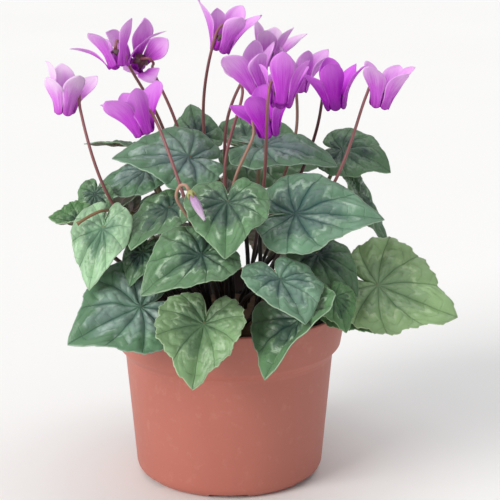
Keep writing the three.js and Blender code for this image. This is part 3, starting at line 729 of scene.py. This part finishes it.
def make_pot():
    centre = POT_BASE_RADIUS - POT_BASE_ROUND + POT_BASE_SPREAD
    foot = []
    for turn in range(0, 91, 10):
        foot.append((centre + POT_BASE_ROUND * sine(turn), POT_BASE_ROUND * (1 - cosine(turn))))
    profile = [
        foot[-1],
        (POT_BODY_RADIUS, POT_BODY_TOP),
        (POT_BODY_RADIUS + 0.8, POT_BODY_TOP + 2.2),
        (COLLAR_BOTTOM_RADIUS, COLLAR_BOTTOM),
        (COLLAR_TOP_RADIUS, POT_HEIGHT - LIP_BEVEL),
        (COLLAR_TOP_RADIUS - LIP_BEVEL, POT_HEIGHT),
        (COLLAR_TOP_RADIUS - POT_WALL, POT_HEIGHT - 0.6),
        (COLLAR_BOTTOM_RADIUS - POT_WALL, COLLAR_BOTTOM),
        (POT_BODY_RADIUS - POT_WALL, POT_BODY_TOP),
        (POT_BASE_RADIUS - POT_WALL, POT_FLOOR + 3),
        (POT_BASE_RADIUS - POT_WALL - 3, POT_FLOOR),
        (0, POT_FLOOR),
    ]
    shape = lathe([(0, 0), *foot[:-1], *rounded(profile, POT_EDGE_ROUND, 3)], POT_SIDES)
    pot = shape.piece("plant_pot", [plastic_material(), inner_shade_material()])
    for i in range(CHANNELS):
        heading = -90 + i * 360 / CHANNELS
        cut_away(pot, channel_cutter(heading))
        cut_away(pot, drain_cutter(heading))
    graph = bpy.context.evaluated_depsgraph_get()
    mesh = bpy.data.meshes.new_from_object(pot.evaluated_get(graph))
    for modifier in list(pot.modifiers):
        bpy.data.objects.remove(modifier.object)
    pot.modifiers.clear()
    pot.data = mesh
    for polygon in mesh.polygons:
        polygon.use_smooth = True
        x, y, z = polygon.center
        # Faces inside the pot take the second material, which paints the shade in there near black
        inward = polygon.normal.x * x + polygon.normal.y * y < 0 or polygon.normal.z > 0.5
        if inward and POT_FLOOR - 0.1 < z / MM < POT_HEIGHT - 2:
            polygon.material_index = 1
    mesh.set_sharp_from_angle(angle=math.radians(SHARP_ANGLE))
    stand_for(pot, "pot", "pot")


def cut_away(piece, cutter):
    modifier = piece.modifiers.new("cut", "BOOLEAN")
    modifier.operation = "DIFFERENCE"
    modifier.object = cutter
    modifier.solver = "EXACT"


def channel_cutter(heading):
    """A low groove across the foot, with rounded upper corners."""
    half = CHANNEL_WIDTH / 2
    outline = [(-half, -2), (-half, CHANNEL_HEIGHT), (half, CHANNEL_HEIGHT), (half, -2)]
    outline = rounded(outline, CHANNEL_ROUND, 4)
    turn = Matrix.Rotation(math.radians(heading), 3, "Z")
    shape = Shape()
    rings = []
    for reach in (POT_BASE_RADIUS + 6, CHANNEL_INNER_RADIUS):
        rings.append([shape.add(turn @ Vector((reach, side, height))) for side, height in outline])
    shape.band(rings, caps=True)
    return shape.piece("cutter")


def drain_cutter(heading):
    shape = Shape()
    add_tube(shape, [polar(DRAIN_AT_RADIUS, heading, z) for z in (-2, 12)], [DRAIN_RADIUS] * 2, sides=32)
    return shape.piece("cutter")


def soil_height(x, y):
    """The compost's uneven, crumbly surface."""
    broad = math.sin(x * 0.21 + 0.6) * math.cos(y * 0.19 - 0.4)
    fine = math.sin(x * 0.53 - y * 0.31) * math.sin(y * 0.47 + 1.1)
    crumb = noise.turbulence(Vector((x * 0.16, y * 0.16, 3.0)), 3, False)
    return SOIL_TOP + SOIL_RELIEF * (0.6 * broad + 0.4 * fine) + 1.5 * (crumb - 0.5)


def make_soil():
    inner = POT_WALL + 2 * GAP
    wall = [
        (0, POT_FLOOR + GAP),
        (POT_BASE_RADIUS - inner - 3.4, POT_FLOOR + GAP),
        (POT_BASE_RADIUS - inner, POT_FLOOR + 3.6),
        (POT_BODY_RADIUS - inner - 0.15, POT_BODY_TOP),
        (COLLAR_BOTTOM_RADIUS - inner - 0.3, COLLAR_BOTTOM + 0.4),
    ]
    top = [(SOIL_EDGE * (1 - i / SOIL_ROWS), SOIL_TOP) for i in range(SOIL_ROWS)]
    shape = lathe([*wall, *top, (0, SOIL_TOP)], SOIL_TURNS)
    for point in shape.points:
        if point.z == SOIL_TOP:
            settle = smooth_step(SOIL_EDGE, SOIL_EDGE - 4, math.hypot(point.x, point.y))
            point.z = SOIL_TOP - SOIL_SINK + (soil_height(point.x, point.y) - SOIL_TOP + SOIL_SINK) * settle
    inside, outside = CRUMB_RING
    chance = random.Random(11)
    for _ in range(CRUMBS):
        radius = inside + (outside - inside) * math.sqrt(chance.random())
        at = polar(radius, 360 * chance.random(), 0)
        size = 0.5 + 1.4 * chance.random() ** 2
        at.z = soil_height(at.x, at.y) + 0.25 * size
        add_crumb(shape, at, size, chance)
    stand_for(shape.piece("potting_compost", [compost_material()]), "compost", "compost")


def add_crumb(shape, at, size, chance):
    """A small rough lump: an octahedron whose corners are pushed in and out, with its edges cut once."""
    corners = [Vector(c) for c in ((1, 0, 0), (-1, 0, 0), (0, 1, 0), (0, -1, 0), (0, 0, 1), (0, 0, -1))]
    turn = Matrix.Rotation(6.28 * chance.random(), 3, Vector((chance.random(), 1, chance.random())))
    stretch = Vector((1.0, 0.6 + 0.5 * chance.random(), 0.5 + 0.3 * chance.random()))
    triangles = [(0, 2, 4), (2, 1, 4), (1, 3, 4), (3, 0, 4), (2, 0, 5), (1, 2, 5), (3, 1, 5), (0, 3, 5)]
    middles = {}
    for a, b, c in triangles:
        for low, high in (sorted(pair) for pair in ((a, b), (b, c), (c, a))):
            if (low, high) not in middles:
                middles[low, high] = middles[high, low] = len(corners)
                corners.append((corners[low] + corners[high]).normalized())
    points = []
    for corner in corners:
        push = size * (0.75 + 0.5 * chance.random())
        points.append(shape.add(at + turn @ (corner * stretch) * push))
    for a, b, c in triangles:
        ab, bc, ca = middles[a, b], middles[b, c], middles[c, a]
        for face in ((a, ab, ca), (ab, b, bc), (ca, bc, c), (ab, bc, ca)):
            shape.face(points[i] for i in face)


def crown_height(radius):
    upper = [(edge, rise) for edge, rise in reversed(CORM_OUTLINE) if rise > 0]
    return CORM_MIDDLE + table_at(upper, radius)


def make_corm():
    outline = [(radius, CORM_MIDDLE + rise) for radius, rise in CORM_OUTLINE]
    shape = lathe(rounded(outline, CORM_ROUND, 3), CORM_TURNS)
    for point in shape.points:
        rough = noise.fractal(point * 0.16, 0.8, 2.0, 4)
        away = point - Vector((0, 0, CORM_MIDDLE))
        if away.length > 1:
            point += away.normalized() * CORM_ROUGH * rough
    stand_for(shape.piece("cyclamen_corm", [corm_material()]), "corm", "corm")


# ---- leaves ----

# Sizes on a blade as shares of its length: teeth, lobes and small lobes of the margin, waves and ripples of
# the margin, and how far the panels between the veins swell and pucker
TOOTH = 0.014
LOBE = 0.016
SMALL_LOBE = 0.01
WAVE = 0.035
RIPPLE = 0.016
SWELL = 0.042
PUCKER = 0.036
RAGGED_LOOKS = ("young", "fresh", "olive")
RAGGED = 2.4
EDGE_THINNING = 0.45
STEM_POINTS = 30
# A blade that doesn't bend still needs a curvature to divide by
TINY = 1e-6
UPPER, UNDER, STEM = 0, 1, 2


def root_of(ring, heading):
    """Where a stem leaves the corm, and its direction there."""
    radius, lean = ROOTS[ring]
    start = polar(radius, heading, crown_height(radius) - ROOT_DEPTH)
    return start, polar(sine(lean), heading, cosine(lean))


def add_stem(shape, points, radius, tip, swell, swell_from, slot=0):
    """A tube that narrows evenly to its tip, and swells there from a share of its length on."""
    radii = []
    for i in range(len(points)):
        share = i / (len(points) - 1)
        radii.append(radius + (tip - radius) * share + swell * smooth_step(swell_from, 1, share))
    add_tube(shape, points, radii, slot)


def vein_lines(turn, share, along, across):
    """Distances to the nearest main and side vein, as shares of the leaf's length, and the rib number."""
    rib = (abs(turn) + VEIN_BEND * share) / VEIN_STEP
    local = abs(rib - round(rib))
    main = local * math.radians(VEIN_STEP) * math.hypot(along, across)
    if along > 0:
        main = min(main, abs(across))
    side = (share - SIDE_LEAN * local) * SIDE_VEINS + 0.45
    side = abs(side - round(side)) / SIDE_VEINS
    return main, side, rib


class Leaf:
    def __init__(self, row, index):
        self.name = f"leaf_{index + 1:02}"
        x, y, z, heading, slope, roll = row[:6]
        self.length, self.breadth, self.curl, self.cup, self.groove = row[6:11]
        self.ring, self.root, self.look = row[11:]
        self.at = Vector((x, y, z))
        self.phase = index * 2.4
        self.seed = index * 7.3
        self.ragged = RAGGED if self.look in RAGGED_LOOKS else 1.0
        self.along = polar(cosine(slope), heading, sine(slope))
        level = Vector((0, 0, 1)).cross(self.along).normalized()
        self.left = Matrix.Rotation(math.radians(roll), 3, self.along) @ level
        self.up = self.along.cross(self.left)

    def margin(self, turn):
        """The margin's reach with its fine teeth, which face the tip."""
        tooth = (turn / 360 * LEAF_TEETH) % 1.0
        rise = tooth if turn < 0 else 1 - tooth
        calm = smooth_step(0, 12, abs(turn)) * smooth_step(180, 160, abs(turn))
        lobes = LOBE * sine(7 * turn, self.phase)
        lobes += SMALL_LOBE * self.ragged * sine(17 * turn, 2 * self.phase)
        return read_smoothly(MARGIN, abs(turn)) * (1 + calm * (TOOTH * self.ragged * (rise - 0.5) + lobes))

    def point(self, turn, share):
        """A point of the middle surface, with its quilted panels, and what the materials read there."""
        reach = share * self.margin(turn)
        unit_along = reach * cosine(turn)
        unit_across = reach * sine(turn)
        main, side, rib = vein_lines(turn, share, unit_along, unit_across)
        along = unit_along * self.length
        across = unit_across * self.length * self.breadth
        curl = math.radians(self.curl) / self.length * (0.5 if along < 0 else 1) + TINY
        cup = math.radians(self.cup) / (0.57 * self.length) + TINY
        wave = WAVE * share**2 * sine(3 * turn, self.phase)
        ripple = RIPPLE * share**5 * sine(9 * turn, 2.1 * self.phase)
        drop = (1 - math.cos(curl * along)) / curl + (1 - math.cos(cup * across)) / cup
        height = self.length * (wave + ripple) + self.groove * abs(across) - drop
        height += self.quilt(main, side, share, unit_along, unit_across)
        place = self.at + self.along * (math.sin(curl * along) / curl)
        place += self.left * (math.sin(cup * across) / cup) + self.up * height
        return place, dict(zip(LEAF_SHADES, (share, unit_along, unit_across, self.seed, rib)))

    def quilt(self, main, side, share, along, across):
        """Panels swell between the veins, which lie in grooves, and pucker a little."""
        inside = smooth_step(0, 0.15, share) * smooth_step(1.02, 0.8, share)
        swell = smooth_step(0, 0.08, main) * (0.55 + 0.45 * smooth_step(0, 0.05, side))
        pucker = noise.noise(Vector((6 * along, 6 * across, self.seed)))
        return self.length * inside * (SWELL * (swell - 0.6) + PUCKER * pucker)

    def stem(self):
        start, direction = root_of(self.ring, self.root)
        arrive = (self.up * 0.8 + self.along * 0.35).normalized()
        span = (start - self.at).length
        first = start + direction * span * 0.4
        return bezier(start, first, self.at - arrive * span * 0.3, self.at - arrive * 0.3, STEM_POINTS)


def make_leaf(leaf, materials):
    shape = Shape(*LEAF_SHADES, "stem_share")
    turns = [360 * k / LEAF_TURNS - (360 if 2 * k > LEAF_TURNS else 0) for k in range(LEAF_TURNS)]
    shares = [(i / LEAF_ROWS) ** 0.92 for i in range(1, LEAF_ROWS + 1)]
    grid = [[leaf.point(0, 0)]] + [[leaf.point(turn, share) for turn in turns] for share in shares]
    upper, under = [], []
    for sign, rings in ((1, upper), (-1, under)):
        for i, row in enumerate(grid):
            half = BLADE_THICKNESS / 2 * (1 - EDGE_THINNING * (i / LEAF_ROWS) ** 3)
            ring = []
            for k, (place, shades) in enumerate(row):
                ring.append(shape.add(place + blade_normal(grid, i, k) * half * sign, **shades))
            rings.append(ring)
    shape.band([under[-1], *reversed(upper)], UPPER)
    shape.band(under, UNDER)
    add_stem(shape, leaf.stem(), LEAF_STEM_RADIUS, LEAF_STEM_TIP_RADIUS, LEAF_STEM_FLARE, 0.93, STEM)
    grow(shape, leaf.name, "leaf", materials, outward=False)


def blade_normal(grid, row, turn):
    """The blade's outward direction at a point of its grid."""
    if row == 0:
        quarter = LEAF_TURNS // 4
        ahead, left, back, right = (grid[1][k * quarter][0] for k in range(4))
        return (ahead - back).cross(left - right).normalized()
    outer = grid[min(row + 1, LEAF_ROWS)][turn][0]
    inner = grid[row - 1][turn if row > 1 else 0][0]
    onward = grid[row][(turn + 1) % LEAF_TURNS][0] - grid[row][turn - 1][0]
    return (outer - inner).cross(onward).normalized()


def make_leaves():
    uppers = {name: leaf_upper(name, look) for name, look in LEAF_LOOKS.items()}
    under = leaf_under()
    stems = [
        stem_material("leaf_stem_rose", (112, 74, 66), (138, 112, 84), (150, 128, 92), 0.95),
        stem_material("leaf_stem_green", (118, 112, 76), (140, 150, 98), (124, 92, 72), 0.95),
    ]
    for index, row in enumerate(LEAVES):
        leaf = Leaf(row, index)
        make_leaf(leaf, [uppers[leaf.look], under, stems[index % 2]])


# ---- blooms ----

# A petal's width by the share of its length, which starts inside the mouth
PETAL_START = -0.14
PETAL_WIDTHS = [
    (PETAL_START, 3.2), (-0.07, 4.0), (0, 4.9), (0.16, 5.7), (0.32, 7.3), (0.5, 10.0), (0.66, 11.8),
    (0.8, 11.0), (0.9, 8.0), (0.96, 4.8), (1.0, 0.9),
]
PETAL_SWING = 20.0
PETAL_BEND = 1.7
MOUTH_RADIUS = 4.6
MOUTH_LIFT = 0.6

# The tube that the petals leave, as radius and distance behind the mouth, outside and then inside
TUBE_PROFILE = [
    (0, TUBE_LENGTH), (1.4, 6.9), (2.4, 6.1), (2.95, 4.9), (3.4, 2.6), (3.7, 0.6), (3.6, -0.1), (3.2, -0.2),
    (2.9, 0.2), (2.7, 1.8), (2.4, 3.4), (1.9, 4.4), (1.1, 5.4), (0, 5.9),
]
TUBE_SIDES = 30
CALYX_SIDES = 60
CALYX_REACHES = [0.25, 0.5, 0.75, 0.9, 1.0]
CALYX_THICKNESS = 0.6


class Bloom:
    def __init__(self, row, index):
        self.name = f"bloom_{index + 1:02}"
        x, y, z, heading, tilt, hook, self.open, self.size, self.breadth = row[:9]
        self.knee, self.ring, self.root, self.strength, self.brown = row[9:]
        self.mouth = Vector((x, y, z))
        self.phase = index * 1.7
        self.out = polar(sine(tilt), heading, -cosine(tilt))
        to_hook = polar(1, hook, 0)
        self.to_hook = (to_hook - self.out * to_hook.dot(self.out)).normalized()
        self.across = self.out.cross(self.to_hook)

    def point(self, radius, turn, back):
        """A point from its radius, its turn from the hook and its distance behind the mouth."""
        place = self.to_hook * radius * cosine(turn) + self.across * radius * sine(turn)
        return self.mouth + (place - self.out * back) * self.size

    def petal(self, index):
        """How a petal turns and bends, and its middle line as (share, radius, back) out to the tip."""
        longer = math.sin(4.3 * index + 1.9 * self.phase)
        opened = self.open + 7 * math.sin(2.1 * index + self.phase)
        reach = PETAL_LENGTH * (1 + 0.08 * longer)
        line = [(PETAL_START, 3.4, 1.2), (-0.07, 3.7, -0.1), (0, MOUTH_RADIUS, -MOUTH_LIFT)]
        for share in (0.08, 0.2, 0.32, 0.5, 0.66, 0.82, 1):
            lean = opened * (0.6 + 0.6 * share)
            radius = MOUTH_RADIUS + share * reach * sine(lean)
            line.append((share, radius, share * reach * cosine(lean) - MOUTH_LIFT))
        return {
            "spin": HOOK_ROOM + (360 - 2 * HOOK_ROOM) * index / (PETALS - 1),
            "twist": PETAL_TWIST + 7 * longer,
            "swing": PETAL_SWING * math.sin(3.7 * index + 2.3 * self.phase),
            "bend": PETAL_BEND * math.sin(5.1 * index + self.phase),
            "line": line,
            "seed": 2 * index + self.phase,
        }

    def petal_point(self, petal, share, side, push):
        """A point of a petal's face; push moves it off the middle surface."""
        free = max(share, 0)
        broad = smooth_step(0.0, 0.3, share)
        width = read_smoothly(PETAL_WIDTHS, share) * (1 + (self.breadth - 1) * broad)
        radius = read_smoothly(petal["line"], share) + petal["bend"] * free**3
        back = read_smoothly(petal["line"], share, 2)
        back -= 1.1 * (0.7 - side * side) * math.exp(-((share / 0.08) ** 2))
        twist = (petal["twist"] + petal["swing"] * free**2) * broad
        cup = PETAL_CUP * width * side * side * broad
        wave = 0.8 * broad * share * abs(side) ** 3 * math.sin(9 * share + petal["seed"] + side)
        keel = 0.4 * broad * math.exp(-((side / 0.2) ** 2)) * (1 - share)
        sideways = side * width / 2 - push * sine(twist)
        outward = radius - cup + wave - keel + side * width / 2 * sine(twist) + push * cosine(twist)
        angle = petal["spin"] + math.degrees(math.atan2(sideways, outward))
        return self.point(math.hypot(outward, sideways), angle, back)


def add_petal(shape, bloom, index):
    petal = bloom.petal(index)
    seed = 3.1 * index + 5.7 * bloom.phase
    columns = [2 * j / (PETAL_COLUMNS - 1) - 1 for j in range(PETAL_COLUMNS)]
    around = [(side, 1) for side in columns] + [(side, -1) for side in reversed(columns)]
    rings = []
    for i in range(PETAL_STEPS + 1):
        share = PETAL_START + (1 - PETAL_START) * i / PETAL_STEPS
        ring = []
        for side, sign in around:
            half = PETAL_THICKNESS / 2 * (1 - 0.5 * side**4)
            place = bloom.petal_point(petal, share, side, sign * half)
            ring.append(shape.add(place, petal_share=max(share, -0.1), petal_across=side, petal_seed=seed))
        rings.append(ring)
    shape.band(rings)
    for ring in (rings[0], rings[-1]):
        for j in range(PETAL_COLUMNS - 1):
            shape.face((ring[j], ring[j + 1], ring[-2 - j], ring[-1 - j]))


def add_bloom_tube(shape, bloom):
    """The short cup that the petals leave, open at the mouth, with the style in its middle."""
    rings = []
    for radius, back in TUBE_PROFILE:
        lobes = 0.08 if radius > 2 else 0
        ring = []
        for k in range(TUBE_SIDES if radius else 1):
            turn = 360 * k / TUBE_SIDES
            wide = radius * (1 + lobes * cosine(5 * turn))
            ring.append(shape.add(bloom.point(wide, turn, back), petal_share=-0.1 if back < 4 else 0.3))
        rings.append(ring)
    shape.band(rings)
    style = [bloom.point(0, 0, back) for back in (4.6, 3.0, 1.4, 0.2)]
    add_tube(shape, style, [1.5, 1.3, 0.7, 0.3], slot=1)


def add_calyx(shape, bloom):
    """Five pointed sepals that clasp the back of the tube."""
    start = TUBE_LENGTH + GAP
    rings = [[shape.add(bloom.point(0, 0, TUBE_LENGTH + 1.6), stem_share=1.0)]]
    outside = [(far, CALYX_THICKNESS) for far in CALYX_REACHES]
    inside = [(far, 0.0) for far in reversed(CALYX_REACHES)]
    for far, lift in outside + inside:
        ring = []
        for k in range(CALYX_SIDES):
            turn = 360 * k / CALYX_SIDES
            pointed = (0.5 + 0.5 * cosine(5 * turn)) ** 1.4
            radius = far * (2.8 + 1.2 * pointed) + lift * 0.4 * far
            back = start - (0.9 + 2.3 * pointed) * far**2 + lift
            ring.append(shape.add(bloom.point(radius, turn, back), stem_share=1.0))
        rings.append(ring)
    rings.append([shape.add(bloom.point(0, 0, start), stem_share=1.0)])
    shape.band(rings, slot=1)


def add_stalk(shape, ring, heading, passed, radius, tip):
    """A stalk from its root through the points that it passes, with a small knob at its end."""
    start, direction = root_of(ring, heading)
    points = through([start, start + direction * (ROOT_DEPTH + 4), *passed], 2.0)
    add_stem(shape, points, radius, tip, STALK_KNOB, 0.985)


def make_bloom(bloom, flower_materials, stalk_materials):
    flower = Shape(*PETAL_SHADES, "stem_share")
    add_bloom_tube(flower, bloom)
    for k in range(PETALS):
        add_petal(flower, bloom, k)
    grow(flower, bloom.name + "_petals", "petal", flower_materials)
    stalk = Shape("stem_share")
    passed = [
        bloom.knee,
        bloom.point(HOOK_REACH, 0, 3),
        bloom.point(HOOK_REACH * 0.8, 0, 10),
        bloom.point(HOOK_REACH * 0.35, 0, 12.4),
        bloom.point(0, 0, TUBE_LENGTH + 0.9),
    ]
    add_stalk(stalk, bloom.ring, bloom.root, passed, STALK_RADIUS, STALK_TIP_RADIUS)
    add_calyx(stalk, bloom)
    grow(stalk, bloom.name + "_stalk", "stalk", stalk_materials)


def make_blooms():
    weak, strong = PETAL_TONES["weak"], PETAL_TONES["strong"]
    petals = {}
    for shade in (0.2, 0.45, 0.75, 1.0):
        tones = [tuple(Vector(a).lerp(Vector(b), shade)) for a, b in zip(weak, strong)]
        petals[shade] = petal_material(f"petal_{round(100 * shade)}", tones)
    style = stem_material("style", (206, 190, 150), (224, 206, 170), (196, 160, 120))
    tan = stem_material("stalk_tan", (126, 84, 70), (168, 130, 112), (150, 104, 92))
    rose = stem_material("stalk_rose", (116, 66, 64), (148, 96, 96), (132, 78, 84))
    brown = stem_material("stalk_brown", (84, 48, 50), (94, 52, 62), (112, 66, 70))
    calyx = stem_material("calyx", (70, 44, 46), (88, 56, 56), (96, 84, 56))
    for index, row in enumerate(BLOOMS):
        bloom = Bloom(row, index)
        shade = min(petals, key=lambda value: abs(value - bloom.strength))
        tones = tan if bloom.brown < 0.2 else brown if bloom.brown > 0.8 else rose
        make_bloom(bloom, [petals[shade], style], [tones, calyx])


# ---- bud and spent stalk ----

BUD_SIDES = 40
BUD_STEPS = 40
BUD_START = 0.3
BUD_SPIN = math.degrees(0.9)
# How far the folded petals reach out by the distance from the calyx, up to their tip
BUD_LENGTH = (BUD_TIP - BUD_CALYX).length
BUD_OUTLINE = [(BUD_START, 1.1), (2, 1.7), (5, 2.1), (8, 1.9), (11, 1.3), (BUD_LENGTH, 0.5)]
BUD_CALYX_RINGS = [(-2, 0.9), (-1.6, 1.3), (-1, 1.7), (-0.35, 2.1), (0.8, 2.35), (2.4, 2.3)]


def make_bud():
    along = (BUD_TIP - BUD_CALYX).normalized()
    side = along.cross(Vector((0, 1, 0))).normalized()
    other = along.cross(side)
    flower = Shape(*PETAL_SHADES)
    rings = []
    for i in range(BUD_STEPS + 1):
        share = i / BUD_STEPS
        far = BUD_START + (BUD_LENGTH - BUD_START) * share
        ring = []
        for k in range(BUD_SIDES):
            fold = (5 * k / BUD_SIDES + 1.1 * share) % 1.0
            radius = table_at(BUD_OUTLINE, far) * (0.86 + 0.2 * fold)
            ray = between(side, other, 360 * k / BUD_SIDES + BUD_SPIN * share)
            place = BUD_CALYX + along * far + ray * radius
            ring.append(flower.add(place, petal_share=share, petal_across=2 * fold - 1, petal_seed=4.0))
        rings.append(ring)
    flower.band(rings, caps=True)
    grow(flower, "bud_petals", "faded_petal", [petal_material("petal_faded", PETAL_TONES["fading"])])
    stalk = Shape("stem_share")
    passed = [*BUD_STALK, BUD_CALYX - along * 1.5]
    add_stalk(stalk, "inner", BUD_ROOT, passed, BUD_STEM_RADIUS, BUD_STEM_RADIUS)
    rings = []
    for far, radius in BUD_CALYX_RINGS:
        ring = []
        for k in range(BUD_SIDES):
            turn = 360 * k / BUD_SIDES
            pointed = 0.5 + 0.5 * cosine(5 * turn)
            lobe = 1 - 0.25 * max(far, 0) * (1 - pointed)
            reach = far if far < 0 else far * pointed
            place = BUD_CALYX + along * reach + between(side, other, turn) * radius * lobe
            ring.append(stalk.add(place, stem_share=1.0))
        rings.append(ring)
    stalk.band(rings, slot=1, caps=True)
    rose = stem_material("bud_stalk_rose", (124, 84, 74), (176, 134, 116), (156, 112, 96))
    green = stem_material("bud_calyx", (150, 152, 92), (166, 166, 104), (138, 124, 82))
    grow(stalk, "bud_stalk", "stalk", [rose, green])


def make_spent_stalk():
    shape = Shape("stem_share")
    add_stalk(shape, "middle", SPENT_ROOT, SPENT_STALK, SPENT_RADIUS, SPENT_TIP_RADIUS)
    dried = stem_material("spent_stalk", (112, 80, 58), (124, 92, 64), (150, 126, 84))
    grow(shape, "spent_stalk", "spent_stalk", [dried], outward=False)


set_camera()
set_lights()
make_floor()
make_pot()
make_soil()
make_corm()
make_leaves()
make_blooms()
make_bud()
make_spent_stalk()
